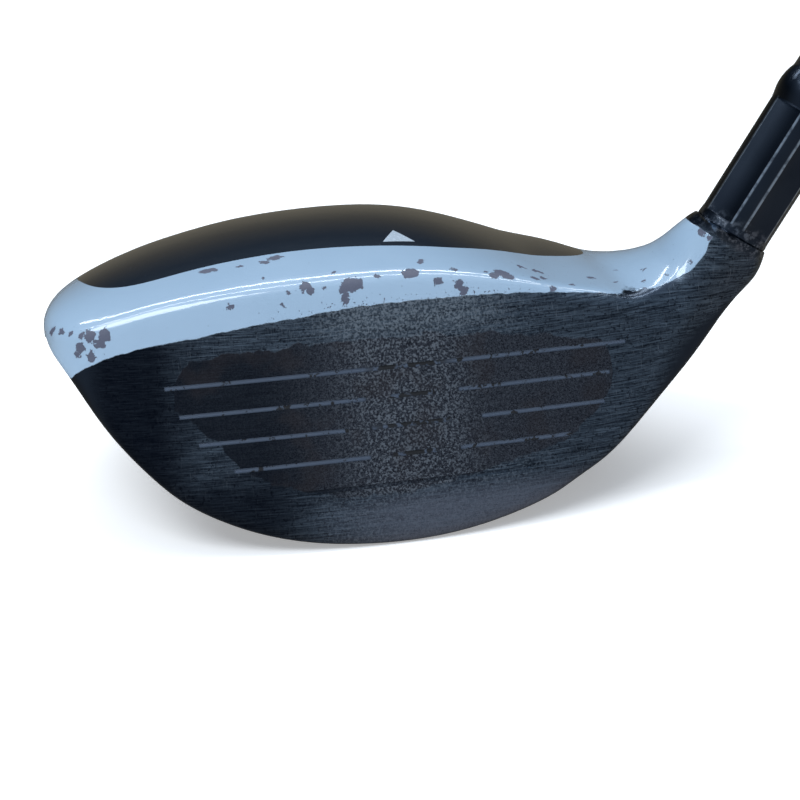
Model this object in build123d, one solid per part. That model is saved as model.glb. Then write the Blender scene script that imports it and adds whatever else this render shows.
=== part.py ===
"""Fairway wood: hollow steel head with a composite crown, fluted bonded hosel, graphite shaft and grip.

Millimetres.  The origin is on the ground under the middle of the face, with the sole resting at address.
+X points from the toe to the heel, -Y to the target (the face looks that way) and +Z up.
The head surface is a grid of control rings.  The rings stand upright from the toe to the heel, and then
fan about a pivot above the neck until they are square to the hosel.
"""
import math
import os

from build123d import *

# ------------------------------------------------------------------ head, as held at address
LOFT = 16.0                # face against the vertical
LIE = 57.0                 # hosel against the ground
FACE_Y = -24.0             # face line at FACE_Z, under the middle of the face
FACE_Z = 1.8
BULGE_R = 280.0            # heel to toe curve of the face
HOSEL_X = 33.4             # where the hosel axis meets the ground
HOSEL_Y = -5.0
NECK_R = 6.75              # neck where it meets the hosel
PIVOT_X = 38.5             # centre of the neck fan
PIVOT_Z = 55.8
TOE_Y = 3.0                # toe tip
TOE_Z = 34.0
SKIRT_FALL = 0.245         # the skirt line drops toward the back
CREASE = 3.0               # softness of the top line
SOLE_EDGE = 3.2            # softness of the leading edge

# ------------------------------------------------------------------ walls and layers
WALL = 1.9
PLATE = 2.4                # face plate
PLATE_CENTRE = 3.2         # face plate behind the middle
PANEL = 0.8                # composite crown
BOND = 0.25                # glue under the crown
LEDGE = 5.0                # width of the crown ledge
MARK = 0.15                # alignment mark in the crown lacquer

# ------------------------------------------------------------------ groove lines of the face
LINE_PITCH = 4.74
LINE_LOW = 8.34            # lowest line, measured up the face
LINE_WIDTH = 0.7
LINE_DEPTH = 0.35
PAINT_DEPTH = 0.2
LINES = [
    [(-17.9, 20.9)],
    [(-27.6, -5.5), (-1.9, 5.4), (9.3, 28.4)],
    [(-32.8, -8.75), (-4.95, 8.3), (13.3, 34.7)],
    [(-35.4, -5.5), (-1.5, 5.8), (9.8, 36.0)],
    [(-37.3, 39.2)],
]

# ------------------------------------------------------------------ hosel, distances along its axis
HOLLOW_END = 38.0          # the hollow of the head stops below the bore
FLUTE_LOW = 51.2
FLUTE_TOP = 72.4
HOSEL_R = 6.4
SHOULDER_R = 6.5           # foot of the hosel, on the neck
ROOT_R = 5.0               # blunt cone that joins the hosel into the neck
ROOT_LOW = 46.5
COLLAR = 72.7
HOSEL_TOP = 78.5
COLLAR_LINE = [(HOSEL_R, COLLAR), (6.62, 73.8), (6.75, 75.0), (6.68, 76.3), (6.42, 77.5), (6.05, HOSEL_TOP)]
FLUTES = 5
FLUTE_TURN = -58.0         # first flute, from the target side toward the heel
FLUTE_R = 9.0
FLUTE_HALF = 24.0          # half the angle taken by one flute
BORE_R = 4.55
BORE_LOW = 46.0

# ------------------------------------------------------------------ shaft, ferrule and grip
TIP_R = 4.25
TIP_LOW = 46.5
TIP_END = 150.0
BUTT_R = 7.6
SHAFT_TOP = 1094.0
CLUB_TOP = 1098.6
TUBE_TIP = 1.65            # tube wall
TUBE_BUTT = 1.1
FERRULE_TOP = 103.0
TAPE = 0.2
GRIP_LOW = 832.0
GRIP_LOW_R = 9.6
GRIP_TOP_R = 13.4
VENT_R = 2.0
BAND_LOW = 640.0
BAND_TOP = 700.0
BAND = 0.15

# x, set-back at the toe, back outline y, crown height, top line height, front edge of the sole
BODY = [
    (-55.3, 12.3, 3.0, 34.0, 34.0, 34.0),
    (-54.9, 7.9, 11.5, 35.7, 34.6, 32.8),
    (-53.7, 4.4, 19.5, 37.0, 35.3, 31.0),
    (-51.7, 2.0, 27.0, 38.1, 36.0, 28.3),
    (-48.9, 0.7, 33.5, 39.1, 36.8, 23.7),
    (-45.3, 0.1, 39.5, 40.1, 37.7, 18.5),
    (-40.5, 0.0, 45.5, 41.2, 38.9, 13.0),
    (-34.0, 0.0, 51.0, 42.5, 40.2, 7.7),
    (-26.0, 0.0, 55.5, 43.8, 41.2, 3.9),
    (-17.0, 0.0, 58.5, 44.8, 41.8, 1.4),
    (-7.0, 0.0, 60.0, 45.2, 42.1, 0.2),
    (3.0, 0.0, 60.0, 44.9, 41.95, 0.1),
    (13.0, 0.0, 58.3, 43.2, 40.9, 1.2),
    (23.0, 0.0, 54.0, 39.9, 38.8, 3.6),
    (31.5, 0.0, 47.5, 37.1, 36.5, 7.3),
    (38.5, 0.0, 39.0, 35.4, 34.8, 11.6),
]
# fan angle, share of round section, back y, crown, top line and lower edge (heights in the fan frame)
NECK = [
    (9.0, 0.04, 31.0, 34.6, 33.9, 15.8),
    (19.0, 0.14, 22.5, 34.6, 33.4, 18.5),
    (30.0, 0.32, 14.0, 35.3, 32.9, 20.6),
    (43.0, 0.62, 7.0, 36.7, 32.6, 21.6),
    (57.0, 1.00, 1.75, 36.44, 31.0, 22.94),
]
SKIRT_NECK = (25.2, 29.4)  # skirt height at the start and the end of the neck
CROWN_ANGLES = (0, 14, 30, 47, 65, 82)
SOLE_SHARES = (0.20, 0.38, 0.55, 0.70, 0.83, 0.93, 0.985)
SOLE_POWER = 2.4
RING = 24                  # control points in a ring
FINE = 3                   # curve points per control point


def rad(angle):
    return math.radians(angle)


def face_y(x, z):
    """Depth of the lofted and bulged face plane."""
    return FACE_Y + (z - FACE_Z) * math.tan(rad(LOFT)) + x * x / (2 * BULGE_R)


def ring_polygon(front, y_back, h_peak, h_line, h_lead, h_skirt, low_corner):
    """Control points (y, height): from the back over the crown, down the face and back along the sole."""
    y_line = front(h_line)
    y_lead = front(h_lead)
    y_peak = y_line + 0.30 * (y_back - y_line)
    span = y_peak - y_line

    def fore_crown(y):
        return h_peak - (h_peak - h_line) * ((y_peak - y) / span) ** 2

    points = []
    for angle in CROWN_ANGLES:
        y = y_peak + (y_back - y_peak) * math.cos(rad(angle))
        points.append((y, h_skirt + (h_peak - h_skirt) * math.sin(rad(angle))))
    for share in (0.22, 0.58):
        y = y_peak - share * span
        points.append((y, fore_crown(y)))
    near = min(CREASE, 0.25 * span)
    points.append((y_line + near, fore_crown(y_line + near)))
    points.append((y_line, h_line))
    height = h_line - h_lead
    high = h_line - min(CREASE, 0.2 * height)
    low = h_lead + min(low_corner, 0.45 * height)
    for share in (0.0, 0.25, 0.5, 0.75, 1.0):
        h = high + (low - high) * share
        points.append((front(h), h))
    points.append((y_lead, h_lead))
    run = y_back - y_lead
    points.append((y_lead + min(SOLE_EDGE, 0.1 * run), h_lead))
    for share in SOLE_SHARES:
        rise = 1 - (1 - share ** SOLE_POWER) ** (1 / SOLE_POWER)
        points.append((y_lead + share * run, h_lead + (h_skirt - h_lead) * rise))
    return points


def ring_round(y0, y1, h0, h1):
    """Control points of a round section in the same order."""
    grow = 3.0 / (2.0 + math.cos(2 * math.pi / RING))
    points = []
    for j in range(RING):
        turn = 2 * math.pi * j / RING
        y = (y0 + y1) / 2 + grow * (y1 - y0) / 2 * math.cos(turn)
        points.append((y, (h0 + h1) / 2 + grow * (h1 - h0) / 2 * math.sin(turn)))
    return points


def body_ring(index, wall=0.0):
    """Control ring of an upright section, or of the hollow inside it for a given wall."""
    x, back_set, y_back, z_peak, z_line, z_lead = BODY[index]
    thick = wall * min(1.0, index / 4)
    x += wall * max(0.0, x / BODY[0][0])
    if index == 0:
        return [(x, TOE_Y, TOE_Z)] * RING
    before = BODY[index - 1]
    after = BODY[min(index + 1, len(BODY) - 1)]
    steep = (after[5] - before[5]) / (after[0] - before[0])
    low_corner = SOLE_EDGE * math.sqrt(1 + steep * steep)
    z_skirt = TOE_Z - SKIRT_FALL * (y_back - TOE_Y)
    polygon = ring_polygon(lambda z: face_y(x, z) + back_set + thick, y_back - thick, z_peak - thick,
                           z_line - thick, z_lead + thick, z_skirt, low_corner)
    return [(x, y, z) for y, z in polygon]


def neck_ring(row, wall=0.0):
    """Control ring of a section of the neck fan, or of the hollow inside it."""
    angle, share, y_back, h_peak, h_line, h_lead = row
    y_back -= wall
    h_peak -= wall
    h_line -= wall
    h_lead += wall
    s = math.sin(rad(angle))
    c = math.cos(rad(angle))

    def front(h):
        r = PIVOT_Z - h
        y = face_y(PIVOT_X + r * s, PIVOT_Z - r * c)
        return (1 - share) * y + share * (HOSEL_Y - NECK_R) + wall

    low, high = SKIRT_NECK
    h_skirt = low + (high - low) * (angle / LIE) ** 0.8
    polygon = ring_polygon(front, y_back, h_peak, h_line, h_lead, h_skirt, 4.2)
    rounded = ring_round(front(0.5 * (h_peak + h_lead)), y_back, h_lead, h_peak)
    ring = []
    for (y0, h0), (y1, h1) in zip(polygon, rounded):
        r = PIVOT_Z - ((1 - share) * h0 + share * h1)
        ring.append((PIVOT_X + r * s, (1 - share) * y0 + share * y1, PIVOT_Z - r * c))
    return ring


def ring_grid(wall):
    return [body_ring(i, wall) for i in range(len(BODY))] + [neck_ring(row, wall) for row in NECK]


RINGS = ring_grid(0.0)


def spline_slopes(values, flat_start):
    """Slopes of the cubic spline through evenly spaced values."""
    n = len(values)
    rows = [[1.0, 4.0, 1.0, 3 * (values[min(i + 1, n - 1)] - values[max(i - 1, 0)])] for i in range(n)]
    rows[0] = [0.0, 2.0, 1.0, 3 * (values[1] - values[0])]
    if flat_start:
        rows[0] = [0.0, 1.0, 0.0, 0.0]
    rows[-1] = [1.0, 2.0, 0.0, 3 * (values[-1] - values[-2])]
    for i in range(1, n):
        ratio = rows[i][0] / rows[i - 1][1]
        rows[i][1] -= ratio * rows[i - 1][2]
        rows[i][3] -= ratio * rows[i - 1][3]
    slopes = [0.0] * n
    slopes[-1] = rows[-1][3] / rows[-1][1]
    for i in range(n - 2, -1, -1):
        slopes[i] = (rows[i][3] - rows[i][2] * slopes[i + 1]) / rows[i][1]
    return slopes


SLOPES = [[spline_slopes([ring[j][axis] for ring in RINGS], axis == 0) for axis in range(3)]
          for j in range(RING)]


AXIS = Vector(math.cos(rad(LIE)), 0, math.sin(rad(LIE)))


def curve_weights(t):
    """Weights of four control points, and their rates, at share t of a span."""
    value = ((1 - t) ** 3 / 6, (3 * t ** 3 - 6 * t * t + 4) / 6,
             (-3 * t ** 3 + 3 * t * t + 3 * t + 1) / 6, t ** 3 / 6)
    rate = (-(1 - t) ** 2 / 2, (3 * t * t - 4 * t) / 2, (-3 * t * t + 2 * t + 1) / 2, t * t / 2)
    return value, rate


def section(station, inset):
    """Curve points of the head surface at one station, moved inward by inset."""
    points = []
    for step in range(RING * FINE):
        j, part = divmod(step, FINE)
        value, rate = curve_weights(part / FINE)
        near = [(j - 1 + q) % RING for q in range(4)]
        at = [sum(value[q] * RINGS[station][near[q]][a] for q in range(4)) for a in range(3)]
        along = [sum(rate[q] * RINGS[station][near[q]][a] for q in range(4)) for a in range(3)]
        across = [sum(value[q] * SLOPES[near[q]][a][station] for q in range(4)) for a in range(3)]
        normal = Vector(*along).cross(Vector(*across)).normalized()
        if station == len(RINGS) - 1:
            normal = (normal - AXIS * normal.dot(AXIS)).normalized()
        points.append(Vector(*at) - normal * inset)
    return points


def closed_loft(tip, sections):
    loops = [Edge.make_spline(points, periodic=True, parameters=list(range(len(points) + 1)))
             for points in sections]
    return Solid.make_loft([Vertex(*tip)] + [Wire([loop]) for loop in loops])


def skin(inset):
    """Solid head shape inset by a thin layer.  An inset layer starts a little later at the toe."""
    first = 1 if inset < 0.5 else 2
    return closed_loft((BODY[0][0] + inset, TOE_Y, TOE_Z),
                       [section(station, inset) for station in range(first, len(RINGS))])


def hollow(wall):
    """Solid of the hollow inside the head, up to the foot of the hosel bore."""
    grid = ring_grid(wall)
    sections = []
    for ring in grid[1:]:
        points = []
        for step in range(RING * FINE):
            j, part = divmod(step, FINE)
            value = curve_weights(part / FINE)[0]
            near = [ring[(j - 1 + q) % RING] for q in range(4)]
            points.append(Vector(*[sum(value[q] * near[q][a] for q in range(4)) for a in range(3)]))
        sections.append(points)
    core = turned([(0, HOLLOW_END), (30, HOLLOW_END), (30, HOSEL_TOP), (0, HOSEL_TOP)])
    return closed_loft(grid[0][0], sections) - core


HOSEL = Plane(origin=(HOSEL_X, HOSEL_Y, 0), x_dir=(AXIS.Z, 0, -AXIS.X), z_dir=AXIS)
FACE = Plane(origin=(0, FACE_Y, FACE_Z), x_dir=(1, 0, 0), z_dir=(0, -math.cos(rad(LOFT)), math.sin(rad(LOFT))))
FACE_R = BULGE_R / math.cos(rad(LOFT))


def turned(profile):
    """Solid of revolution about the hosel axis from (radius, distance along the axis) points."""
    outline = Polyline(*[(r, 0, t) for r, t in profile], close=True)
    return HOSEL.location * revolve(make_face(outline), Axis.Z)


def shaft_r(t):
    return TIP_R + (BUTT_R - TIP_R) * max(0.0, t - TIP_END) / (SHAFT_TOP - TIP_END)


def upright(points, z0, z1):
    """Vertical prism over a smooth closed outline."""
    outline = Edge.make_spline([Vector(x, y, z0) for x, y in points], periodic=True)
    return extrude(Face(Wire([outline])), amount=z1 - z0, dir=(0, 0, 1))


def face_strip(x0, x1, height, width, deep, shallow):
    """Curved strip following the bulge of the face, between two depths below its surface."""
    def depth(x, below):
        radius = FACE_R - below
        return math.sqrt(radius * radius - x * x) - FACE_R

    def arc(xa, xb, below):
        xm = (xa + xb) / 2
        return ThreePointArc((xa, depth(xa, below)), (xm, depth(xm, below)), (xb, depth(xb, below)))

    ends = [Line((x1, depth(x1, deep)), (x1, depth(x1, shallow))),
            Line((x0, depth(x0, shallow)), (x0, depth(x0, deep)))]
    outline = make_face([*arc(x0, x1, deep).edges(), *ends[0].edges(),
                         *arc(x1, x0, shallow).edges(), *ends[1].edges()])
    strip = extrude(Plane.XZ * outline, amount=width / 2, both=True)
    return FACE.location * Pos(0, height, 0) * strip


# ------------------------------------------------------------------ outlines seen from above (x, y)
CROWN = [(-49.0, 12.7), (-47.5, 6.6), (-45.4, 2.7), (-42.5, 0.3), (-38.2, -0.9), (-31.0, -0.8), (-22.0, -0.8),
         (-12.0, -1.1), (-2.0, -2.0), (8.0, -2.6), (13.0, -2.1), (18.7, -0.1), (25.3, 2.7), (31.3, 5.4),
         (36.0, 7.9), (39.4, 12.0), (40.6, 17.5), (40.2, 24.0), (38.0, 31.0), (33.5, 38.5), (27.0, 45.6),
         (17.0, 52.3), (5.0, 56.0), (-7.0, 56.2), (-19.0, 53.8), (-30.0, 48.8), (-39.0, 41.0), (-45.0, 32.0),
         (-48.5, 22.0)]
MARK_LINE = [(1.3, -0.7), (6.7, -0.7), (4.0, 4.6)]
# face plate outline on the face: across, up the face
PLATE_EDGE = [(-44.0, 30.0), (-43.0, 25.0), (-39.5, 18.5), (-34.0, 12.5), (-27.0, 8.2), (-18.0, 5.6), (-5.0, 4.6),
              (8.0, 5.0), (19.0, 7.6), (28.5, 12.0), (36.0, 18.0), (41.0, 25.0), (41.5, 30.5), (36.0, 33.4),
              (20.0, 35.4), (0.0, 37.3), (-18.0, 37.2), (-34.0, 34.9), (-41.5, 33.0)]
PLATE_BACK = 6.0           # how far the plate opening runs into the head
THICK_X = 23.0             # half width and height of the thick middle of the plate
THICK_Z = 10.0
THICK_AT = (0.0, 20.5)
SLOT_LENGTH = 56.0         # flex slot in the sole
SLOT_WIDTH = 3.6
SLOT_Y = -12.5
SLOT_DEPTH = 8.0
WEIGHT_AT = (2.0, 36.0)
WEIGHT_R = 7.0
BOSS_R = 9.5
BOSS_TOP = 12.0
RECESS = 0.6
KEY_R = 2.6
GLUE_PAD = (-18.0, 12.0, 15.0, 11.0)
GLUE_THICK = 2.0


def inset_outline(points, distance):
    """Outline moved inward, along the direction square to its neighbours."""
    n = len(points)
    moved = []
    for i, (x, y) in enumerate(points):
        ax, ay = points[i - 1]
        bx, by = points[(i + 1) % n]
        length = math.hypot(bx - ax, by - ay)
        moved.append((x + distance * (ay - by) / length, y + distance * (bx - ax) / length))
    return moved


def skirt_prism(points, gap=1.2):
    """Vertical prism over an outline, kept above the skirt line."""
    prism = upright(points, 0, 60)
    slope = math.degrees(math.atan(SKIRT_FALL))
    block = Box(200, 200, 60, align=(Align.CENTER, Align.CENTER, Align.MIN))
    return prism & (Pos(0, TOE_Y, TOE_Z + gap) * Rot(-slope, 0, 0) * block)


def face_prism(points, back, front):
    """Prism square to the face over a smooth outline on it."""
    outline = Edge.make_spline([Vector(x, z, -back) for x, z in points], periodic=True)
    return FACE.location * extrude(Face(Wire([outline])), amount=back + front, dir=(0, 0, 1))


# ------------------------------------------------------------------ head shell
outer = skin(0.0)
cavity = hollow(WALL)
under_panel = skin(PANEL)
under_bond = skin(PANEL + BOND)
under_mark = skin(MARK)

neck_end = (PIVOT_X - HOSEL_X) * AXIS.X + PIVOT_Z * AXIS.Z
collar = Spline(*[(r, 0, t) for r, t in COLLAR_LINE])
hosel_edge = Polyline((HOSEL_R, 0, COLLAR), (HOSEL_R, 0, FLUTE_LOW - 0.2), (SHOULDER_R, 0, neck_end + 0.3),
                      (ROOT_R, 0, ROOT_LOW), (0, 0, ROOT_LOW), (0, 0, HOSEL_TOP), (COLLAR_LINE[-1][0], 0, HOSEL_TOP))
hosel_solid = HOSEL.location * revolve(make_face([*hosel_edge.edges(), *collar.edges()]), Axis.Z)
bore = turned([(0, BORE_LOW), (BORE_R, BORE_LOW), (BORE_R, HOSEL_TOP + 1), (0, HOSEL_TOP + 1)])

half = HOSEL_R * math.sin(rad(FLUTE_HALF))
reach = HOSEL_R * math.cos(rad(FLUTE_HALF)) + math.sqrt(FLUTE_R ** 2 - half ** 2)
flute = Cylinder(FLUTE_R, FLUTE_TOP - FLUTE_LOW, align=(Align.CENTER, Align.CENTER, Align.MIN))
flutes = []
for i in range(FLUTES):
    turn = FLUTE_TURN + i * 360 / FLUTES
    at = Pos(reach * math.sin(rad(turn)), -reach * math.cos(rad(turn)), FLUTE_LOW)
    flutes.append(HOSEL.location * at * flute)

crown_area = skirt_prism(CROWN)
crown_open = skirt_prism(inset_outline(CROWN, LEDGE), 3.0)
plate_area = face_prism(PLATE_EDGE, PLATE_BACK, 4.0)
slot_area = Pos(0, SLOT_Y, -2) * extrude(SlotOverall(SLOT_LENGTH, SLOT_WIDTH), SLOT_DEPTH + 2)
boss = Pos(*WEIGHT_AT, 0) * Cylinder(BOSS_R, BOSS_TOP, align=(Align.CENTER, Align.CENTER, Align.MIN))
pocket = Pos(*WEIGHT_AT, -1) * Cylinder(WEIGHT_R, BOSS_TOP - 1.5, align=(Align.CENTER, Align.CENTER, Align.MIN))

head_body = outer + hosel_solid
for cutter in flutes:
    head_body -= cutter
head_body -= bore
crown_pocket = (crown_area & outer) - under_bond
head_body -= crown_pocket
head_body -= cavity - boss
head_body -= crown_open & outer
head_body -= pocket
head_body -= plate_area
head_body -= slot_area

# ------------------------------------------------------------------ pieces of the head
crown_blank = crown_area & outer
crown_bond = ((crown_area - crown_open) & under_panel) - under_bond
mark_area = extrude(make_face(Polyline(*[(x, y, 30) for x, y in MARK_LINE], close=True)), amount=30,
                    dir=(0, 0, 1))
alignment_mark = (mark_area & outer) - under_mark
crown_panel = (crown_blank - under_panel) - alignment_mark

grooves = []
paint = []
for row, spans in enumerate(LINES):
    height = LINE_LOW + row * LINE_PITCH
    for x0, x1 in spans:
        grooves.append(face_strip(x0, x1, height, LINE_WIDTH, LINE_DEPTH, -1.0))
        if row > 0:
            paint.append(face_strip(x0, x1, height, LINE_WIDTH, LINE_DEPTH, PAINT_DEPTH))

thick = [(THICK_AT[0] + THICK_X * math.cos(a / 8 * math.pi), THICK_AT[1] + THICK_Z * math.sin(a / 8 * math.pi))
         for a in range(16)]
plate_blank = plate_area & outer
plate_slab = face_strip(-60, 60, 20, 80, PLATE, -3)
thick_slab = face_strip(-60, 60, 20, 80, PLATE_CENTRE, -3)
face_plate = (plate_blank & plate_slab) + (face_prism(thick, PLATE_BACK, 4.0) & outer & thick_slab)
for cutter in grooves:
    face_plate -= cutter

slot_insert = (slot_area & outer) - cavity
weight_body = pocket & (Pos(0, 0, RECESS) * outer)
key = Pos(*WEIGHT_AT, -1) * extrude(RegularPolygon(KEY_R, 6), 9.0)
sole_weight = weight_body - key
x, y, rx, ry = GLUE_PAD
pad_edge = [(x + rx * math.cos(a * math.pi / 6), y + ry * math.sin(a * math.pi / 6)) for a in range(12)]
hot_melt_pad = (upright(pad_edge, -1, 15) & cavity) - Pos(0, 0, GLUE_THICK) * cavity

# ------------------------------------------------------------------ hosel, shaft and grip
epoxy = turned([(TIP_R, TIP_LOW), (BORE_R, TIP_LOW), (BORE_R, HOSEL_TOP), (TIP_R, HOSEL_TOP)])
ferrule = turned([(TIP_R, HOSEL_TOP), (6.05, HOSEL_TOP), (5.95, HOSEL_TOP + 6.0), (5.5, HOSEL_TOP + 15.0),
                  (4.75, FERRULE_TOP - 0.6), (4.5, FERRULE_TOP), (TIP_R, FERRULE_TOP)])
inner_tip = TIP_R - TUBE_TIP
shaft = turned([(inner_tip, TIP_LOW), (TIP_R, TIP_LOW), (TIP_R, TIP_END), (BUTT_R, SHAFT_TOP),
                (BUTT_R - TUBE_BUTT, SHAFT_TOP), (inner_tip, TIP_END)])
tip_plug = turned([(0, TIP_LOW), (inner_tip, TIP_LOW), (inner_tip, TIP_LOW + 9), (0, TIP_LOW + 9)])
shaft_band = turned([(shaft_r(BAND_LOW), BAND_LOW), (shaft_r(BAND_LOW) + BAND, BAND_LOW),
                     (shaft_r(BAND_TOP) + BAND, BAND_TOP), (shaft_r(BAND_TOP), BAND_TOP)])
tape = turned([(shaft_r(GRIP_LOW), GRIP_LOW), (shaft_r(GRIP_LOW) + TAPE, GRIP_LOW),
               (BUTT_R + TAPE, SHAFT_TOP), (BUTT_R, SHAFT_TOP)])
sleeve = turned([(shaft_r(GRIP_LOW) + TAPE, GRIP_LOW), (GRIP_LOW_R - 0.8, GRIP_LOW),
                 (GRIP_LOW_R, GRIP_LOW + 1.2), (GRIP_LOW_R + 0.5, GRIP_LOW + 60), (GRIP_TOP_R - 0.9, SHAFT_TOP - 70),
                 (GRIP_TOP_R, SHAFT_TOP), (BUTT_R + TAPE, SHAFT_TOP)])
cap = turned([(VENT_R, SHAFT_TOP), (GRIP_TOP_R, SHAFT_TOP), (GRIP_TOP_R + 0.5, SHAFT_TOP + 1.4),
              (GRIP_TOP_R - 0.3, SHAFT_TOP + 3.6), (GRIP_TOP_R - 3.2, CLUB_TOP), (VENT_R, CLUB_TOP)])

NODES = {
    "head_body": [head_body],
    "face_plate": [face_plate],
    "face_line_paint": paint,
    "crown_panel": [crown_panel],
    "crown_bond": [crown_bond],
    "alignment_mark": [alignment_mark],
    "sole_slot_insert": [slot_insert],
    "sole_weight": [sole_weight],
    "hot_melt_pad": [hot_melt_pad],
    "hosel_epoxy": [epoxy],
    "ferrule": [ferrule],
    "shaft": [shaft],
    "shaft_tip_plug": [tip_plug],
    "shaft_band": [shaft_band],
    "grip_tape": [tape],
    "grip_sleeve": [sleeve],
    "grip_cap": [cap],
}

os.makedirs("parts", exist_ok=True)
for name, pieces in NODES.items():
    solids = [solid for piece in pieces for solid in piece.solids()]
    body = solids[0] if len(solids) == 1 else Compound(children=solids)
    body.label = name
    export_step(body, f"parts/{name}.step")
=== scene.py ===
"""Looks of the fairway wood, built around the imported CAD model.  Metres; material masks work in mm."""
import math

import bpy
from mathutils import Matrix, Vector


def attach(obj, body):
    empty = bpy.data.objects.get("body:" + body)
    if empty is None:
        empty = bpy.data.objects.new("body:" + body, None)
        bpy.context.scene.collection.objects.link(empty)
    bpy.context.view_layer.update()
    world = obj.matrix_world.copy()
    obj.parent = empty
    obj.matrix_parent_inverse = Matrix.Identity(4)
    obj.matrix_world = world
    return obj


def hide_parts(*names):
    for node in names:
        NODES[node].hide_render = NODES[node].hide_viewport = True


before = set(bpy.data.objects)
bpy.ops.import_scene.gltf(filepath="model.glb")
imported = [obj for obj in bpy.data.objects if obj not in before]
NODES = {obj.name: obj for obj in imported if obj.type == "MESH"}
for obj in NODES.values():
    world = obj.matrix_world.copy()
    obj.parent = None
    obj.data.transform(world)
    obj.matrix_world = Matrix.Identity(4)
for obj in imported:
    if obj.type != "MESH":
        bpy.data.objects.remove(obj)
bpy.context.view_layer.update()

# ------------------------------------------------------------ shape facts shared with the CAD model (mm)
TAN_LOFT = math.tan(math.radians(16.0))
FACE_Y = -24.0                       # face line at FACE_Z, under the middle of the face
FACE_Z = 1.8
BULGE_R = 280.0                      # heel to toe curve of the face
LIE = math.radians(57.0)
AXIS = Vector((math.cos(LIE), 0.0, math.sin(LIE)))
GROUND = Vector((33.4, -5.0, 0.0))   # where the hosel axis meets the ground
SIDE = Vector((AXIS.z, 0.0, -AXIS.x))
DEPTH = Vector((0.0, 1.0, 0.0))
FLUTE_TURN = 58.0                    # turn of the first flute, in degrees
FLUTE_LANE = 36.0                    # half the turn from one flute to the next
FLUTE_LOW, FLUTE_HIGH = 50.9, 72.9   # ends of the flutes along the hosel axis
PAINT_END = 47.6                     # end of the white paint along the hosel axis
TIP_R, BUTT_R, TUBE_R = 4.25, 7.6, 2.6
SHAFT_LOW, TIP_END, SHAFT_TOP = 46.5, 150.0, 1094.0


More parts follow.
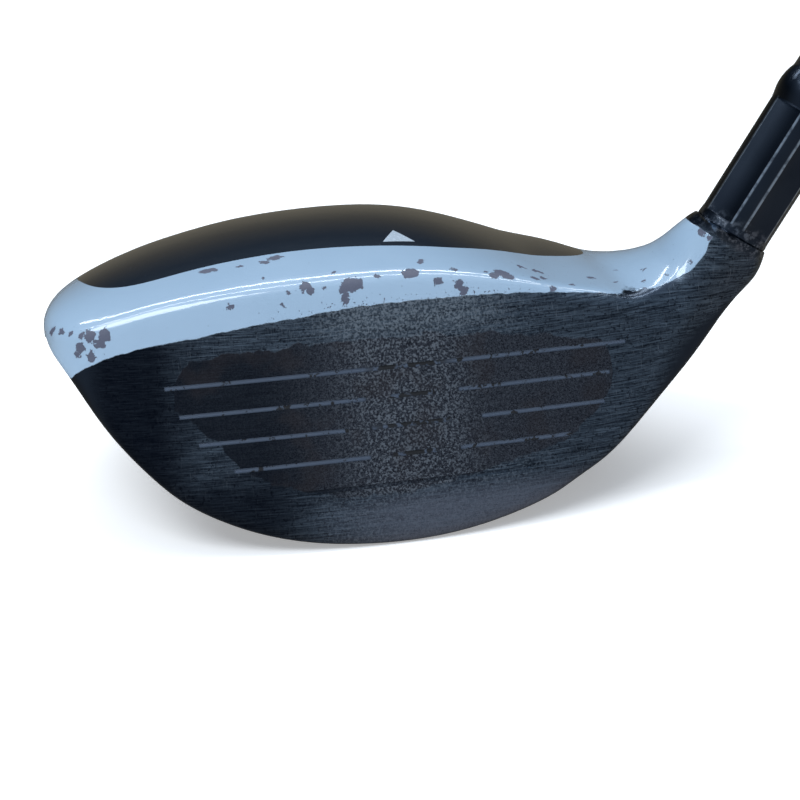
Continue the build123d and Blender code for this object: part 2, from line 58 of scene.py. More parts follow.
# ------------------------------------------------------------ material node helper
class Nodes:
    """Short calls for building one material's node tree."""

    def __init__(self, name):
        self.material = bpy.data.materials.new(name)
        self.material.use_nodes = True
        self.tree = self.material.node_tree
        self.tree.nodes.clear()
        coord = self.node("ShaderNodeTexCoord")
        self.mm = self.vector("SCALE", coord.outputs["Object"], scale=1000.0)
        split = self.node("ShaderNodeSeparateXYZ")
        self.put(split.inputs[0], self.mm)
        self.x, self.y, self.z = split.outputs

    def node(self, kind, **settings):
        made = self.tree.nodes.new(kind)
        for key, value in settings.items():
            setattr(made, key, value)
        return made

    def put(self, socket, value):
        if value is None:
            return
        if isinstance(value, bpy.types.NodeSocket):
            self.tree.links.new(value, socket)
        else:
            socket.default_value = value

    def math(self, operation, a, b=None, c=None, clamp=False):
        made = self.node("ShaderNodeMath", operation=operation, use_clamp=clamp)
        for socket, value in zip(made.inputs, (a, b, c)):
            self.put(socket, value)
        return made.outputs[0]

    def times(self, a, b):
        return self.math("MULTIPLY", a, b)

    def apart(self, value, centre):
        """How far a value is from a centre, to either side."""
        return self.math("ABSOLUTE", self.math("SUBTRACT", value, centre))

    def vector(self, operation, a, b=None, scale=None):
        made = self.node("ShaderNodeVectorMath", operation=operation)
        self.put(made.inputs[0], a)
        self.put(made.inputs[1], b)
        if scale is not None:
            self.put(made.inputs["Scale"], scale)
        return made.outputs["Value" if operation in ("DOT_PRODUCT", "DISTANCE") else "Vector"]

    def stretch(self, factors, turn=(0.0, 0.0, 0.0)):
        """Position in mm, turned and then multiplied axis by axis."""
        made = self.node("ShaderNodeMapping", vector_type="POINT")
        self.put(made.inputs["Vector"], self.mm)
        made.inputs["Rotation"].default_value = [math.radians(a) for a in turn]
        made.inputs["Scale"].default_value = factors
        return made.outputs[0]

    def noise(self, scale=1.0, detail=2.0, rough=0.5, at=None, out="Fac"):
        made = self.node("ShaderNodeTexNoise")
        self.put(made.inputs["Vector"], self.mm if at is None else at)
        made.inputs["Scale"].default_value = scale
        made.inputs["Detail"].default_value = detail
        made.inputs["Roughness"].default_value = rough
        return made.outputs[out]

    def ramp(self, value, low, high, to_low=0.0, to_high=1.0, smooth=True):
        made = self.node("ShaderNodeMapRange", interpolation_type="SMOOTHSTEP" if smooth else "LINEAR")
        for socket, item in zip(made.inputs, (value, low, high, to_low, to_high)):
            self.put(socket, item)
        return made.outputs[0]

    def mix(self, share, a, b):
        made = self.node("ShaderNodeMix", data_type="RGBA")
        self.put(made.inputs[0], share)
        for socket, colour in ((made.inputs[6], a), (made.inputs[7], b)):
            self.put(socket, colour if isinstance(colour, bpy.types.NodeSocket) else (*colour, 1.0))
        return made.outputs[2]

    def blend(self, share, a, b):
        made = self.node("ShaderNodeMix", data_type="FLOAT")
        self.put(made.inputs[0], share)
        self.put(made.inputs[2], a)
        self.put(made.inputs[3], b)
        return made.outputs[0]

    def curve(self, value, points):
        """Smooth function through (input, output) points."""
        lows = [min(p[i] for p in points) for i in (0, 1)]
        spans = [max(p[i] for p in points) - lows[i] for i in (0, 1)]
        made = self.node("ShaderNodeFloatCurve")
        self.put(made.inputs["Value"], self.math("DIVIDE", self.math("SUBTRACT", value, lows[0]), spans[0],
                                                 clamp=True))
        line = made.mapping.curves[0]
        scaled = [((a - lows[0]) / spans[0], (b - lows[1]) / spans[1]) for a, b in points]
        line.points[0].location = scaled[0]
        line.points[1].location = scaled[-1]
        for spot in scaled[1:-1]:
            line.points.new(*spot)
        made.mapping.update()
        return self.math("MULTIPLY_ADD", made.outputs[0], spans[1], lows[1])

    def bump(self, height, strength, distance):
        made = self.node("ShaderNodeBump")
        self.put(made.inputs["Height"], height)
        made.inputs["Strength"].default_value = strength
        made.inputs["Distance"].default_value = distance
        return made.outputs[0]

    def finish(self, **inputs):
        shader = self.node("ShaderNodeBsdfPrincipled")
        for key, value in inputs.items():
            name = key.replace("_", " ")
            if name == "Base Color" and not isinstance(value, bpy.types.NodeSocket):
                value = (*value, 1.0)
            self.put(shader.inputs[name], value)
        out = self.node("ShaderNodeOutputMaterial")
        self.tree.links.new(shader.outputs[0], out.inputs[0])
        return self.material

    def hosel(self):
        """Distance along the hosel axis, and the turn about it in degrees."""
        away = self.vector("SUBTRACT", self.mm, tuple(GROUND))
        along = self.vector("DOT_PRODUCT", away, tuple(AXIS))
        foot = self.vector("SCALE", tuple(AXIS), scale=along)
        out = self.vector("SUBTRACT", away, foot)
        turn = self.math("ARCTAN2", self.vector("DOT_PRODUCT", out, tuple(SIDE)),
                         self.vector("DOT_PRODUCT", out, (0.0, -1.0, 0.0)))
        return along, self.math("DEGREES", turn)


# ------------------------------------------------------------ head finish (x, z in mm)
# Most points of WHITE_LOW, OVAL_TOP and OVAL_LOW and most places in CHIPS are not chosen by hand:
# separate programs cast marks seen in the photograph onto the head and printed them.
# lower edge of the white paint
WHITE_LOW = [(-56.0, 26.0), (-53.2, 28.0), (-51.5, 29.2), (-50.8, 29.9), (-48.4, 31.3), (-45.2, 32.6),
             (-40.5, 33.7), (-35.6, 34.4), (-30.8, 35.0), (-24.4, 35.9), (-14.9, 36.9), (-5.1, 37.8),
             (1.5, 37.9), (8.0, 37.9), (14.7, 37.7), (21.5, 37.2), (28.3, 36.4), (35.5, 35.3),
             (41.2, 34.4), (44.8, 34.5), (48.3, 35.3), (50.0, 35.9), (51.8, 36.9), (53.6, 38.6),
             (54.4, 39.6), (55.3, 41.6), (56.8, 43.4), (62.0, 52.0)]
# edges of the rough oval in the middle of the face
OVAL_TOP = [(-36.0, 24.0), (-34.6, 29.5), (-31.2, 31.6), (-15.2, 32.7), (1.0, 32.8), (14.1, 31.8),
            (27.7, 29.8), (34.6, 28.1), (36.5, 23.0)]
OVAL_LOW = [(-36.0, 24.0), (-30.1, 19.1), (-25.2, 13.3), (-15.9, 9.9), (-6.3, 8.2), (5.3, 8.8),
            (15.6, 10.7), (26.2, 13.2), (34.3, 18.5), (36.5, 23.0)]
# bare patches in the white paint: x, y, z, radius
CHIPS = [
    (-47.9, -9.6, 35.9, 1.0), (-45.6, -10.4, 36.1, 1.1), (-46.6, -10.4, 34.7, 0.9), (-49.7, -9.3, 34.3, 0.8),
    (-50.2, -9.3, 33.0, 0.6), (-48.0, -10.5, 32.8, 0.8), (-49.3, -9.2, 36.0, 0.7), (-52.3, -6.0, 36.0, 0.6),
    (-53.9, -3.8, 35.5, 0.8), (-51.0, -7.6, 36.0, 0.6), (-28.6, -2.3, 42.6, 0.9), (-27.6, -2.5, 42.7, 0.9),
    (-23.0, -3.3, 43.1, 0.5), (-18.9, -3.4, 43.5, 0.8), (-17.2, -2.5, 43.8, 1.0), (-16.2, -2.5, 43.8, 0.6),
    (-19.9, -8.6, 42.4, 0.4), (-25.6, -11.9, 39.5, 0.5), (-8.6, -9.9, 42.7, 0.5), (-13.3, -11.9, 41.4, 1.0),
    (-12.8, -12.2, 40.9, 0.7), (-10.6, -12.3, 41.0, 0.4), (-16.3, -12.2, 40.6, 0.4), (-6.3, -12.4, 41.1, 1.3),
    (-5.0, -12.3, 41.3, 1.0), (-7.5, -12.6, 40.6, 0.9), (-7.4, -13.2, 39.1, 0.8), (-1.8, -11.7, 41.9, 0.5),
    (4.0, -11.5, 41.9, 1.1), (2.9, -11.8, 41.8, 0.7), (-17.2, -12.8, 38.9, 0.4), (6.1, -8.2, 42.7, 0.6),
    (8.2, -12.5, 40.5, 0.6), (11.1, -10.5, 41.5, 0.5), (11.3, -12.8, 39.6, 0.8), (11.9, -13.1, 38.7, 0.8),
    (16.4, -10.5, 40.5, 0.5), (18.8, -10.4, 40.0, 1.2), (19.9, -10.7, 39.7, 1.1), (17.7, -11.3, 40.0, 0.8),
    (23.7, -5.5, 39.2, 0.6), (25.8, -6.0, 38.5, 0.7), (26.8, -6.1, 38.2, 0.6), (24.8, -10.1, 38.5, 0.6),
    (26.5, -9.1, 38.1, 0.6), (27.2, -12.0, 37.1, 0.6), (31.1, -10.0, 36.7, 0.4), (36.0, -4.9, 35.8, 0.6),
    (42.1, 0.7, 34.8, 0.4), (40.1, -5.5, 34.8, 0.35), (45.7, -3.2, 35.7, 0.5), (44.8, -6.6, 35.0, 0.4),
    (44.0, -8.9, 34.5, 0.35), (48.3, -7.8, 36.0, 0.35), (54.2, -7.6, 43.2, 0.8), (54.1, -5.6, 44.5, 0.5),
    (55.2, -9.2, 42.3, 0.9), (54.9, -8.0, 44.0, 0.6), (52.0, -8.5, 38.2, 0.3),
]
RAGGED = 2.6                         # how far the outline of a patch wanders


def chipped(n):
    """1 inside a bare patch, with ragged outlines."""
    shift = n.vector("SUBTRACT", n.noise(0.9, 4.0, 0.65, out="Color"), (0.5, 0.5, 0.5))
    place = n.vector("ADD", n.mm, n.vector("SCALE", shift, scale=RAGGED))
    nearest = None
    for x, y, z, size in CHIPS:
        gap = n.math("SUBTRACT", n.vector("DISTANCE", place, (x, y, z)), size)
        nearest = gap if nearest is None else n.math("MINIMUM", nearest, gap)
    return n.ramp(nearest, 0.05, -0.05)


def white_paint(n, along, edge, wobble):
    """1 on the white band: above its lower edge, before the hosel and in front of the skirt."""
    rear = n.times(n.ramp(n.y, -5.0, 5.0, 0.0, 9.0), n.ramp(n.x, 26.0, 36.0))
    white = n.ramp(n.math("ADD", edge, rear), -0.1, 0.1)
    reach = n.math("ADD", along, wobble)
    white = n.times(white, n.ramp(reach, PAINT_END + 0.15, PAINT_END, smooth=False))
    back = n.ramp(n.x, 30.0, 38.0, 17.0, 36.0)
    return n.times(white, n.ramp(n.math("SUBTRACT", back, n.y), 0.0, 0.2))


def worn_paint(n, edge, white):
    """1 where the white paint is gone: the patches, and specks along its lower edge."""
    middle = n.ramp(n.apart(n.x, 4.0), 34.0, 14.0)
    low_rim = n.times(n.ramp(edge, 3.2, 0.0), middle)
    speck = n.ramp(n.noise(2.3, 3, 0.6), n.math("MULTIPLY_ADD", low_rim, -0.115, 0.735),
                   n.math("MULTIPLY_ADD", low_rim, -0.115, 0.75))
    return n.times(n.math("MAXIMUM", chipped(n), speck), white)


def face_mask(n, along):
    """1 on the lofted and bulged face, as far as the neck."""
    plane = n.math("MULTIPLY_ADD", n.z, TAN_LOFT, FACE_Y - FACE_Z * TAN_LOFT)
    plane = n.math("ADD", plane, n.times(n.times(n.x, n.x), 1 / (2 * BULGE_R)))
    depth = n.math("SUBTRACT", n.y, plane)
    return n.times(n.ramp(depth, 0.9, 0.1), n.ramp(along, 49.0, 47.0))


def brushed_steel(n, brush, fine, grain, pits):
    """Scratched steel, darker at the toe and brighter above and below the oval."""
    cross = n.noise(1.0, 3, 0.6, n.stretch((9.0, 1.0, 0.35), (0, -7, 0)))
    middle = n.ramp(n.apart(n.x, 4.0), 26.0, 8.0)
    streak = n.times(n.ramp(brush, 0.30, 0.72), n.ramp(fine, 0.15, 0.75, 0.25, 1.0))
    steel = n.mix(streak, (0.012, 0.018, 0.030), (0.27, 0.345, 0.425))
    pitted = n.times(n.ramp(pits, 0.48, 0.62), n.math("MULTIPLY_ADD", middle, 0.55, 0.12))
    steel = n.mix(pitted, steel, (0.36, 0.42, 0.48))
    steel = n.mix(n.times(n.ramp(cross, 0.60, 0.72), 0.45), steel, (0.50, 0.56, 0.62))
    steel = n.mix(n.ramp(n.noise(1.7, 3, 0.6), 0.56, 0.68, 0.0, 0.8), steel, (0.015, 0.020, 0.030))
    toe = n.ramp(n.x, -28.0, -40.0, 0.0, 0.88)
    low_toe = n.times(n.ramp(n.z, 17.0, 9.0), n.ramp(n.x, -10.0, -24.0, 0.0, 0.80))
    steel = n.mix(n.math("MAXIMUM", toe, low_toe), steel, (0.006, 0.009, 0.018))
    below = n.times(n.ramp(n.z, 10.0, 5.0), n.ramp(n.apart(n.x, 12.0), 32, 8))
    steel = n.mix(n.times(below, n.ramp(grain, 0.3, 0.7, 0.35, 0.9)), steel, (0.34, 0.36, 0.43))
    above = n.times(n.ramp(n.z, 31.0, 35.0), n.ramp(n.apart(n.x, 3.0), 20, 6))
    return n.mix(n.times(above, n.ramp(pits, 0.42, 0.60, 0.1, 0.8)), steel, (0.48, 0.54, 0.59))


def oval_mask(n):
    """1 inside the oval, with an uneven edge."""
    jag = n.times(n.math("SUBTRACT", n.noise(0.28, 3, 0.6), 0.5), 3.0)
    top = n.math("SUBTRACT", n.curve(n.x, OVAL_TOP), n.z)
    low = n.math("SUBTRACT", n.z, n.curve(n.x, OVAL_LOW))
    oval = n.ramp(n.math("ADD", n.math("MINIMUM", top, low), jag), -0.15, 0.3)
    return n.times(oval, n.ramp(n.math("ABSOLUTE", n.x), 36.6, 36.3))


def oval_metal(n, grain, pits):
    """Dark grainy metal of the oval, worn in the middle and a little rusty."""
    cast = n.mix(n.ramp(grain, 0.34, 0.66), (0.010, 0.012, 0.019), (0.095, 0.104, 0.128))
    worn = n.ramp(n.apart(n.x, 1.5), 15.0, 4.0)
    speck = n.times(n.ramp(pits, 0.47, 0.60), n.math("MULTIPLY_ADD", worn, 0.55, 0.10))
    cast = n.mix(speck, cast, (0.34, 0.38, 0.43))
    cast = n.mix(n.times(n.ramp(n.x, -6.0, -24.0), 0.82), cast, (0.008, 0.012, 0.020))
    rust = n.ramp(n.noise(0.16, 3), 0.48, 0.7)
    return n.mix(n.times(rust, 0.35), cast, (0.065, 0.052, 0.052))


def enamel(n, along, turn, cloud):
    """Black enamel of sole, skirt and hosel, with a painted highlight along the flute edges, and worn bright
    at the hosel's foot.
    """
    dark = n.mix(cloud, (0.030, 0.040, 0.058), (0.070, 0.088, 0.115))
    lane = n.math("ABSOLUTE", n.math("WRAP", n.math("ADD", turn, FLUTE_TURN), FLUTE_LANE, -FLUTE_LANE))
    fluted = n.times(n.ramp(along, FLUTE_LOW, FLUTE_LOW + 0.4), n.ramp(along, FLUTE_HIGH, FLUTE_HIGH - 0.4))
    # painted highlight: light lines where the rib edges beside the flutes catch the light
    flute_edge_highlight = n.times(n.ramp(lane, 23.2, 24.4), n.ramp(lane, 28.5, 26.0))
    flute_edge_highlight = n.times(flute_edge_highlight, n.times(fluted, n.ramp(n.noise(0.9, 3), 0.30, 0.55, 0.35, 1.0)))
    dark = n.mix(flute_edge_highlight, dark, (0.62, 0.70, 0.78))
    scuffed = n.times(n.ramp(along, 46.5, 47.5), n.ramp(along, 53.0, 50.8))
    scuffed = n.times(scuffed, n.ramp(n.noise(0.9, 4, 0.7), 0.45, 0.62))
    return n.mix(n.times(scuffed, 0.7), dark, (0.34, 0.37, 0.42))


def head_material(name):
    n = Nodes(name)
    along, turn = n.hosel()
    grain = n.noise(5.0, 3, 0.7)
    pits = n.noise(2.6, 3, 0.65)
    cloud = n.noise(0.09, 4, 0.6)
    brush = n.noise(1.0, 4, 0.7, n.stretch((0.12, 1.0, 4.6), (0, 6, 0)))
    fine = n.noise(1.0, 3, 0.6, n.stretch((0.45, 1.0, 15.0), (0, 6, 0)))
    wobble = n.times(n.math("SUBTRACT", n.noise(0.5, 4, 0.65), 0.5), 0.7)
    edge = n.math("ADD", n.math("SUBTRACT", n.z, n.curve(n.x, WHITE_LOW)), wobble)
    white = white_paint(n, along, edge, wobble)
    chip = worn_paint(n, edge, white)
    painted = n.math("SUBTRACT", white, chip)
    face = face_mask(n, along)
    oval = oval_mask(n)

    metal = n.mix(n.times(oval, 0.94), brushed_steel(n, brush, fine, grain, pits), oval_metal(n, grain, pits))
    bare = n.mix(face, enamel(n, along, turn, cloud), metal)
    tint = n.mix(n.noise(0.12, 2), (0.31, 0.43, 0.56), (0.34, 0.46, 0.59))
    primer = n.mix(grain, (0.060, 0.068, 0.105), (0.115, 0.125, 0.175))
    colour = n.mix(chip, n.mix(white, bare, tint), primer)

    rough = n.blend(face, 0.22, n.blend(oval, n.ramp(fine, 0.2, 0.8, 0.24, 0.46), 0.60))
    rough = n.blend(white, rough, n.ramp(cloud, 0.3, 0.7, 0.10, 0.16))
    rough = n.blend(chip, rough, 0.55)
    relief = n.math("ADD", n.times(fine, 0.35), n.times(brush, 0.35))
    relief = n.blend(oval, relief, n.times(grain, 1.5))
    relief = n.times(relief, n.times(face, n.math("SUBTRACT", 1.0, white)))
    relief = n.math("MULTIPLY_ADD", painted, 1.2, relief)
    return n.finish(Base_Color=colour, Roughness=rough, Metallic=n.math("SUBTRACT", 1.0, white),
                    Normal=n.bump(relief, 1.0, 0.00004), Coat_Weight=n.times(painted, 0.6),
                    Coat_Roughness=0.05)


def crown_material():
    n = Nodes("crown_lacquer")
    flake = n.noise(18.0, 2, 0.7)
    dust = n.ramp(n.noise(1.6, 4, 0.7), 0.64, 0.76)
    colour = n.mix(flake, (0.004, 0.007, 0.012), (0.010, 0.014, 0.021))
    colour = n.mix(n.times(dust, 0.08), colour, (0.20, 0.22, 0.25))
    swirl = n.noise(1.0, 3, 0.6, n.stretch((0.4, 3.0, 1.0), (0, 0, 20)))
    return n.finish(Base_Color=colour, Roughness=n.ramp(swirl, 0.3, 0.8, 0.16, 0.26),
                    Normal=n.bump(n.noise(0.5, 2), 0.15, 0.0001), Coat_Weight=1.0, Coat_Roughness=0.04)


def plain(name, dark, light, rough=(0.3, 0.5), scale=1.0, bump=0.2, metallic=0.0, coat=0.0):
    """Simple finish: two close colours, uneven gloss and a fine grain."""
    n = Nodes(name)
    grain = n.noise(scale, 3, 0.6)
    broad = n.noise(scale * 0.12, 2)
    colour = n.mix(n.math("MULTIPLY_ADD", broad, 0.5, n.times(grain, 0.5)), dark, light)
    return n.finish(Base_Color=colour, Roughness=n.ramp(grain, 0.3, 0.7, *rough), Metallic=metallic,
                    Normal=n.bump(grain, bump, 0.00005), Coat_Weight=coat, Coat_Roughness=0.06)


def line_paint_material():
    n = Nodes("line_enamel")
    gone = n.ramp(n.noise(0.55, 4, 0.7), 0.57, 0.62)
    centre = n.ramp(n.apart(n.x, 2.0), 9.0, 4.0)
    gone = n.math("MAXIMUM", gone, n.times(centre, n.ramp(n.noise(0.9, 3), 0.38, 0.5)))
    colour = n.mix(gone, (0.075, 0.100, 0.145), (0.012, 0.013, 0.016))
    return n.finish(Base_Color=colour, Roughness=n.blend(gone, 0.35, 0.6),
                    Normal=n.bump(n.noise(4.0, 3), 0.3, 0.00005))


def shaft_material():
    n = Nodes("graphite_lacquer")
    weave = n.noise(1.0, 3, 0.6, n.stretch((1.6, 1.6, 1.6)))
    colour = n.mix(weave, (0.012, 0.013, 0.016), (0.026, 0.028, 0.034))
    return n.finish(Base_Color=colour, Roughness=n.ramp(weave, 0.3, 0.7, 0.22, 0.32), Coat_Weight=0.8,
                    Coat_Roughness=0.05, Normal=n.bump(weave, 0.1, 0.00003))


def assign(piece, material):
    piece.data.materials.clear()
    piece.data.materials.append(material)


HEAD = head_material("head_finish")
FACE = head_material("face_finish")
LOOKS = {
    "head_body": HEAD,
    "face_plate": FACE,
    "crown_panel": crown_material(),
    "face_line_paint": line_paint_material(),
    "alignment_mark": plain("mark_print", (0.42, 0.50, 0.58), (0.50, 0.58, 0.66), (0.2, 0.3), 2.0, 0.1,
                            coat=0.6),
    "crown_bond": plain("adhesive", (0.20, 0.20, 0.18), (0.28, 0.28, 0.25), (0.4, 0.6)),
    "sole_slot_insert": plain("slot_polymer", (0.010, 0.010, 0.012), (0.022, 0.022, 0.026), (0.5, 0.7),
                              3.0),
    "sole_weight": plain("weight_steel", (0.30, 0.31, 0.33), (0.46, 0.47, 0.49), (0.22, 0.38), 2.0, 0.2,
                         0.95),
    "hot_melt_pad": plain("damping_glue", (0.42, 0.34, 0.16), (0.56, 0.47, 0.25), (0.3, 0.5), 0.5),
    "hosel_epoxy": plain("hosel_glue", (0.20, 0.20, 0.18), (0.28, 0.28, 0.25), (0.4, 0.6)),
    "ferrule": plain("ferrule_gloss", (0.006, 0.006, 0.007), (0.012, 0.012, 0.014), (0.12, 0.22), 1.5, 0.1,
                     coat=0.7),
    "shaft_tip_plug": plain("plug_rubber", (0.02, 0.02, 0.02), (0.04, 0.04, 0.04), (0.6, 0.8)),
    "shaft_band": plain("band_print", (0.30, 0.38, 0.47), (0.38, 0.46, 0.55), (0.2, 0.3), 2.0, 0.1,
                        coat=0.6),
    "grip_tape": plain("tape_paper", (0.60, 0.57, 0.47), (0.74, 0.70, 0.60), (0.7, 0.9), 3.0),
    "grip_cap": plain("cap_rubber", (0.012, 0.012, 0.013), (0.028, 0.028, 0.030), (0.5, 0.7), 2.5, 0.4),
}
for node, look in LOOKS.items():
    assign(NODES[node], look)


# ------------------------------------------------------------ shaft and grip as smooth turned meshes
def shaft_r(t):
    return TIP_R + (BUTT_R - TIP_R) * max(0.0, t - TIP_END) / (SHAFT_TOP - TIP_END)


def turned(name, rows, segments, material, relief=None, closed=False):
    """Surface of revolution about the hosel axis from (radius, distance) rows in mm."""
    verts = []
    for row, (r, t) in enumerate(rows):
        for k in range(segments):
            turn = 2 * math.pi * k / segments
            out = r - (relief(turn, t) if relief else 0.0)
            point = GROUND + AXIS * t + SIDE * (out * math.cos(turn)) + DEPTH * (out * math.sin(turn))
            verts.append(point / 1000)
    faces = []
    count = len(rows)
    for row in range(count if closed else count - 1):
        low, high = row * segments, (row + 1) % count * segments
        for k in range(segments):
            nxt = (k + 1) % segments
            faces.append((low + k, high + k, high + nxt, low + nxt))
    mesh = bpy.data.meshes.new(name)
    mesh.from_pydata(verts, [], faces)
    mesh.validate()
    mesh.shade_smooth()
    piece = bpy.data.objects.new(name, mesh)
    bpy.context.scene.collection.objects.link(piece)
    mesh.materials.append(material)
    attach(piece, "root")
    return piece


shaft_rows = [(TUBE_R, SHAFT_LOW), (4.1, SHAFT_LOW), (TIP_R, 46.8)]
shaft_rows += [(shaft_r(t), t) for t in (60, 80, 100, 150, *range(200, 1001, 100), 1092)]
shaft_rows += [(7.5, SHAFT_TOP), (6.5, SHAFT_TOP), (TUBE_R, TIP_END)]
shaft = turned("shaft_tube", shaft_rows, 96, shaft_material(), closed=True)
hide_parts("shaft")

GRIP_LOW, GRIP_TOP = 832.0, 1094.0
GRIP_PROFILE = [(8.8, GRIP_LOW), (9.6, 833.2), (10.1, 892.0), (12.5, 1024.0), (13.4, GRIP_TOP)]
BAND_PITCH, BAND_LENGTH = 33.0, 27.0  # from one band of tread to the next, and one band
TREAD_PITCH, TREAD_DEPTH, TREAD_LANES = 3.0, 0.42, 12
RUBBER_SINK = 0.12                    # smooth rubber under the CAD surface


def grip_radius(t):
    for (r0, t0), (r1, t1) in zip(GRIP_PROFILE, GRIP_PROFILE[1:]):
        if t <= t1:
            return r0 + (r1 - r0) * (t - t0) / (t1 - t0)
    return GRIP_PROFILE[-1][0]


def grip_relief(turn, t):
    """Rows of small chevron grooves with smooth bands between them, cut into the rubber."""
    band = (t - GRIP_LOW) % BAND_PITCH
    if t < GRIP_LOW + 8 or t > GRIP_TOP - 10 or band > BAND_LENGTH:
        return RUBBER_SINK
    lane = turn * TREAD_LANES / (2 * math.pi)
    slant = abs((lane % 1.0) - 0.5) * 2.0
    groove = (band + slant * 4.0) % TREAD_PITCH
    depth = max(0.0, 1.0 - abs(groove - 1.5) / 0.75)
    fade = min(1.0, band / 1.5, (BAND_LENGTH - band) / 1.5)
    return RUBBER_SINK + TREAD_DEPTH * depth * fade


grip_rows = [(shaft_r(GRIP_LOW) + 0.2, GRIP_LOW), (8.8, GRIP_LOW), (9.35, 832.4), (9.6, 833.2)]
grip_rows += [(grip_radius(834.0 + 0.5 * i), 834.0 + 0.5 * i) for i in range(519)]
grip_rows += [(13.4, 1093.9), (7.8, 1093.9)]
grip_look = plain("grip_compound", (0.010, 0.010, 0.011), (0.024, 0.024, 0.026), (0.48, 0.68), 3.0, 0.5)
grip = turned("grip_rubber", grip_rows, 240, grip_look, grip_relief, closed=True)
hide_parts("grip_sleeve")


# ------------------------------------------------------------ camera, set to the photograph's view
TARGET = Vector((0.0, -0.018, 0.0228))
CAMERA_FAR = 0.280
LENS = 78.1                          # focal length for a sensor 36 mm wide


def camera():
    azimuth, elevation, roll = (math.radians(a) for a in (-10.0, 22.0, 2.4))
    back = Vector((math.sin(azimuth) * math.cos(elevation), -math.cos(azimuth) * math.cos(elevation),
                   math.sin(elevation)))
    right = Vector((math.cos(azimuth), math.sin(azimuth), 0.0))
    up = back.cross(right)
    turned_right = right * math.cos(roll) - up * math.sin(roll)
    turned_up = right * math.sin(roll) + up * math.cos(roll)
    data = bpy.data.cameras.new("camera")
    data.sensor_width = 36.0
    data.lens = LENS
    data.clip_start, data.clip_end = 0.01, 50.0
    made = bpy.data.objects.new("camera", data)
    bpy.context.scene.collection.objects.link(made)
    made.matrix_world = Matrix((turned_right, turned_up, back)).transposed().to_4x4()
    made.matrix_world.translation = TARGET + back * CAMERA_FAR
    bpy.context.scene.camera = made


camera()


# ------------------------------------------------------------ floor, sky and lights
# colour of the room by height, from straight down (0) over the horizon (0.5) to straight up (1),
# behind the camera's subject (+Y) and ahead of it
BEHIND = [(0.0, (0.20, 0.20, 0.20)), (0.36, (0.15, 0.14, 0.115)), (0.52, (0.125, 0.115, 0.09)),
          (0.60, (0.075, 0.070, 0.058)), (0.70, (0.022, 0.032, 0.048)), (0.86, (0.09, 0.13, 0.19)),
          (1.0, (0.80, 0.95, 1.15))]
AHEAD = [(0.0, (0.24, 0.24, 0.26)), (0.40, (0.20, 0.21, 0.23)), (0.52, (0.20, 0.23, 0.27)),
         (0.70, (0.18, 0.22, 0.28)), (0.86, (0.36, 0.44, 0.54)), (1.0, (0.80, 0.95, 1.15))]


FLOOR_HALF = 6.0


def floor():
    half = FLOOR_HALF
    corners = [(-half, -half, 0), (half, -half, 0), (half, half, 0), (-half, half, 0)]
    mesh = bpy.data.meshes.new("floor")
    mesh.from_pydata(corners, [], [(0, 1, 2, 3)])
    made = bpy.data.objects.new("floor", mesh)
    bpy.context.scene.collection.objects.link(made)
    n = Nodes("floor_paper")
    grain = n.noise(0.05, 2)
    made.data.materials.append(n.finish(Base_Color=n.mix(grain, (0.90, 0.90, 0.90), (0.92, 0.92, 0.92)),
                                        Roughness=0.9, Emission_Color=(1, 1, 1, 1), Emission_Strength=0.35))
    made.visible_glossy = False


floor()


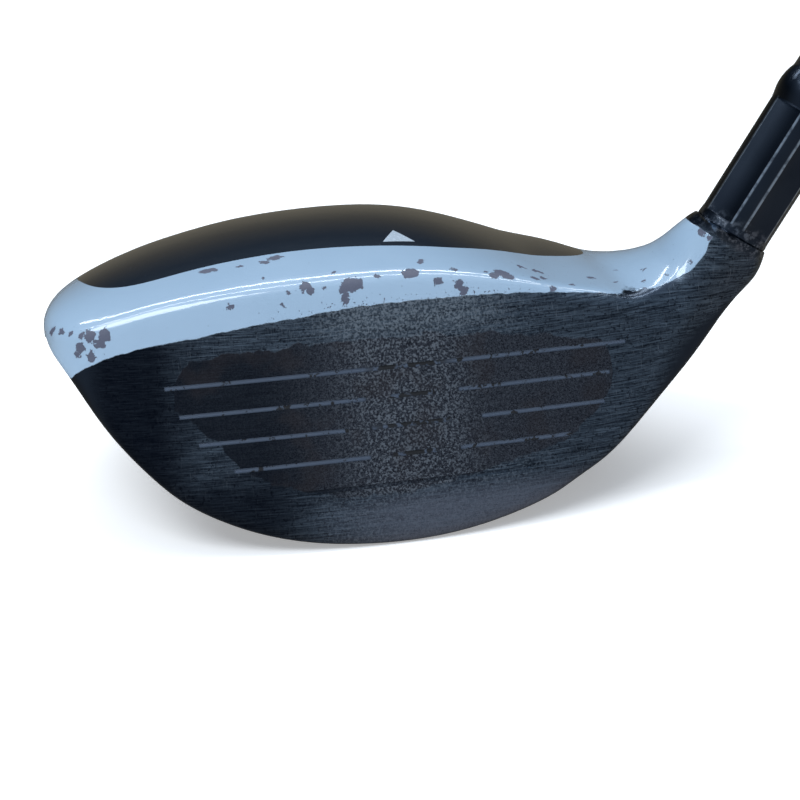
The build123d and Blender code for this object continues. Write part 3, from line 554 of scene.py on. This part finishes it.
def sky():
    world = bpy.data.worlds.new("studio")
    bpy.context.scene.world = world
    world.use_nodes = True
    tree = world.node_tree
    tree.nodes.clear()
    coord = tree.nodes.new("ShaderNodeTexCoord")
    split = tree.nodes.new("ShaderNodeSeparateXYZ")
    tree.links.new(coord.outputs["Generated"], split.inputs[0])
    height = tree.nodes.new("ShaderNodeMapRange")
    height.inputs["From Min"].default_value = -1.0
    tree.links.new(split.outputs[2], height.inputs[0])

    def bands(stops):
        ramp = tree.nodes.new("ShaderNodeValToRGB")
        tree.links.new(height.outputs[0], ramp.inputs[0])
        keys = ramp.color_ramp.elements
        for key, (place, colour) in zip(keys, (stops[0], stops[-1])):
            key.position, key.color = place, (*colour, 1)
        for place, colour in stops[1:-1]:
            keys.new(place).color = (*colour, 1)
        return ramp.outputs[0]

    behind = bands(BEHIND)
    ahead = bands(AHEAD)
    side = tree.nodes.new("ShaderNodeMapRange")
    side.inputs["From Min"].default_value = -0.35
    side.inputs["From Max"].default_value = 0.35
    tree.links.new(split.outputs[1], side.inputs[0])
    mix = tree.nodes.new("ShaderNodeMix")
    mix.data_type = "RGBA"
    for socket, source in ((0, side.outputs[0]), (6, ahead), (7, behind)):
        tree.links.new(source, mix.inputs[socket])
    path = tree.nodes.new("ShaderNodeLightPath")
    seen = tree.nodes.new("ShaderNodeMix")
    seen.data_type = "RGBA"
    seen.inputs[7].default_value = (0.95, 0.95, 0.95, 1)
    tree.links.new(path.outputs["Is Camera Ray"], seen.inputs[0])
    tree.links.new(mix.outputs[2], seen.inputs[6])
    back = tree.nodes.new("ShaderNodeBackground")
    tree.links.new(seen.outputs[2], back.inputs[0])
    out = tree.nodes.new("ShaderNodeOutputWorld")
    tree.links.new(back.outputs[0], out.inputs[0])


sky()


def softbox(name, at, target, width, height, power, colour=(1.0, 1.0, 1.0)):
    data = bpy.data.lights.new(name, "AREA")
    data.shape = "RECTANGLE"
    data.size, data.size_y = width, height
    data.energy = power
    data.color = colour
    made = bpy.data.objects.new(name, data)
    bpy.context.scene.collection.objects.link(made)
    made.location = at
    made.rotation_mode = "QUATERNION"
    made.rotation_quaternion = (Vector(target) - Vector(at)).to_track_quat("-Z", "Y")
    return made


softbox("key", (-0.5, -0.5, 1.1), (0, 0, 0), 0.8, 0.5, 9.0, (0.93, 0.97, 1.0))
softbox("strip_back", (0.05, 0.45, 0.75), (0, 0, 0.03), 1.1, 0.05, 2.2, (0.95, 0.98, 1.0))
softbox("strip_top", (0.0, 0.05, 0.9), (0, 0, 0.03), 1.3, 0.04, 2.5, (0.97, 0.99, 1.0))
bpy.context.scene.view_settings.view_transform = "Standard"
